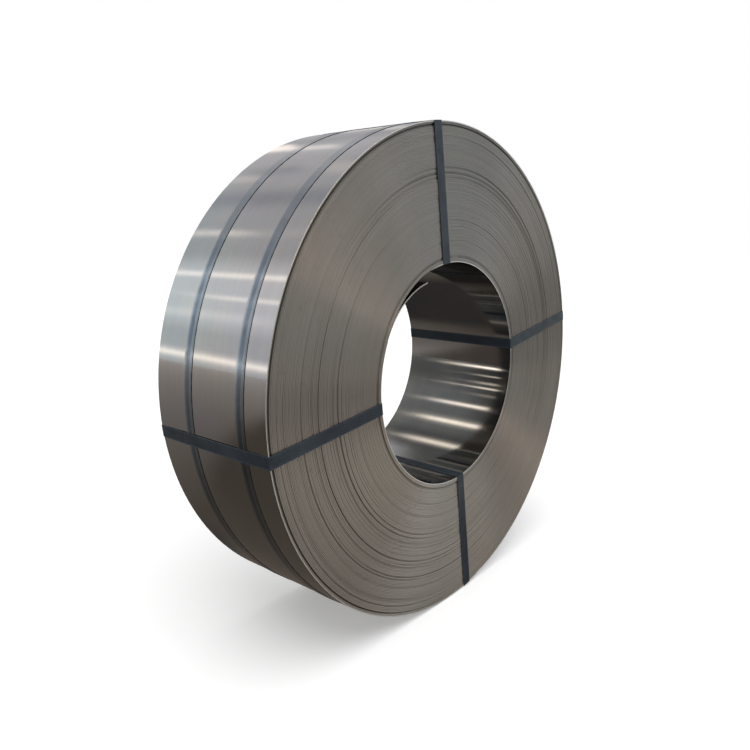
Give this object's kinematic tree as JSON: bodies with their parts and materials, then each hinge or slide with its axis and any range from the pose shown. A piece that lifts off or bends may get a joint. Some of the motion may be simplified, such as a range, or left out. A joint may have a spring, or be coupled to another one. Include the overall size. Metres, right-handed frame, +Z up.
{
  "type": "steel coil",
  "caption": "Coil of slit cold-rolled steel strip with an open bore, held by dark steel straps round its body and through its eye.",
  "frame": {"origin": "on the floor, under the middle of the coil's box, where the lowest point of the body straps touches", "axes": "+X along the coil's axis towards the near end, +Z up"},
  "size_m": [0.3268, 1.1039, 1.104],
  "materials": {
    "strip_steel": "cold-rolled strip, satin, with dull edges",
    "strap_steel": "blued and waxed steel strapping, dark",
    "seal_steel": "blued steel, crimped"
  },
  "bodies": {
    "root": {"strip_coil": "strip_steel", "belly_strap_near": "strap_steel", "belly_strap_far": "strap_steel", "eye_strap_top": "strap_steel", "eye_strap_right": "strap_steel", "eye_strap_bottom": "strap_steel", "eye_strap_left": "strap_steel", "belly_seal_near": "seal_steel", "belly_seal_far": "seal_steel", "eye_seal_top": "seal_steel", "eye_seal_right": "seal_steel", "eye_seal_bottom": "seal_steel", "eye_seal_left": "seal_steel"}
  },
  "joints": []
}
